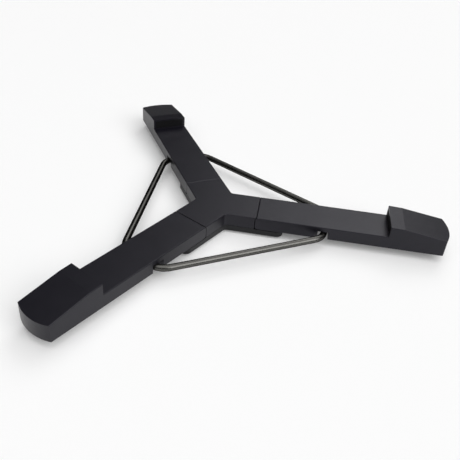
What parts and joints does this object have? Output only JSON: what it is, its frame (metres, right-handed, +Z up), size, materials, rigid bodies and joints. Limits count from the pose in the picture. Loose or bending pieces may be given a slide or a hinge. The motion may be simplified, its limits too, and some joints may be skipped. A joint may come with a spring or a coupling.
{
  "type": "three-arm folding instrument cradle",
  "caption": "Low black folding cradle: flat arms with raised end stops hinge on a central hub and are braced by a bent steel rod ring.",
  "frame": {"origin": "on the floor under the middle of the hub, at the underside of the hub pad", "axes": "+Z up; +X along arm 1; arms 2 and 3 at 120 and 240 degrees about +Z"},
  "size_m": [0.2737, 0.312, 0.0256],
  "materials": {
    "shell_plastic": "satin black moulded",
    "cover_plastic": "matt black moulded",
    "plate_metal": "satin black powder coat",
    "rod_steel": "black nickel, bright",
    "pin_steel": "ground",
    "screw_steel": "black oxide",
    "rubber": "matt",
    "pad_rubber": "matt"
  },
  "bodies": {
    "hub": {"hub_block": "shell_plastic", "base_plate": "plate_metal", "hub_pad": "rubber", "hub_screws": "screw_steel"},
    "arm_1": {"arm_1": "shell_plastic", "hinge_pin_1": "pin_steel", "hinge_cover_1": "cover_plastic", "arm_cover_1": "cover_plastic", "tip_foot_1": "rubber", "stop_pad_1": "pad_rubber", "ring_saddle_1": "rubber", "arm_screws_1": "screw_steel"},
    "arm_2": {"arm_2": "shell_plastic", "hinge_pin_2": "pin_steel", "hinge_cover_2": "cover_plastic", "arm_cover_2": "cover_plastic", "tip_foot_2": "rubber", "stop_pad_2": "pad_rubber", "ring_saddle_2": "rubber", "arm_screws_2": "screw_steel"},
    "arm_3": {"arm_3": "shell_plastic", "hinge_pin_3": "pin_steel", "hinge_cover_3": "cover_plastic", "arm_cover_3": "cover_plastic", "tip_foot_3": "rubber", "stop_pad_3": "pad_rubber", "ring_saddle_3": "rubber", "arm_screws_3": "screw_steel"},
    "ring": {"ring": "rod_steel"}
  },
  "joints": [
    {"name": "arm_1_fold", "type": "hinge", "parent": "hub", "child": "arm_1", "pos_m": [0.0353, 0, 0.0142], "axis": [0, -1, 0], "range_deg": [0, 90]},
    {"name": "arm_2_fold", "type": "hinge", "parent": "hub", "child": "arm_2", "pos_m": [-0.01765, 0.03057, 0.0142], "axis": [0.866, 0.5, 0], "range_deg": [0, 90]},
    {"name": "arm_3_fold", "type": "hinge", "parent": "hub", "child": "arm_3", "pos_m": [-0.01765, -0.03057, 0.0142], "axis": [-0.866, 0.5, 0], "range_deg": [0, 90]},
    {"name": "ring_drop", "type": "slide", "parent": "hub", "child": "ring", "axis": [0, 0, -1], "range_m": [0, 0.007]}
  ]
}
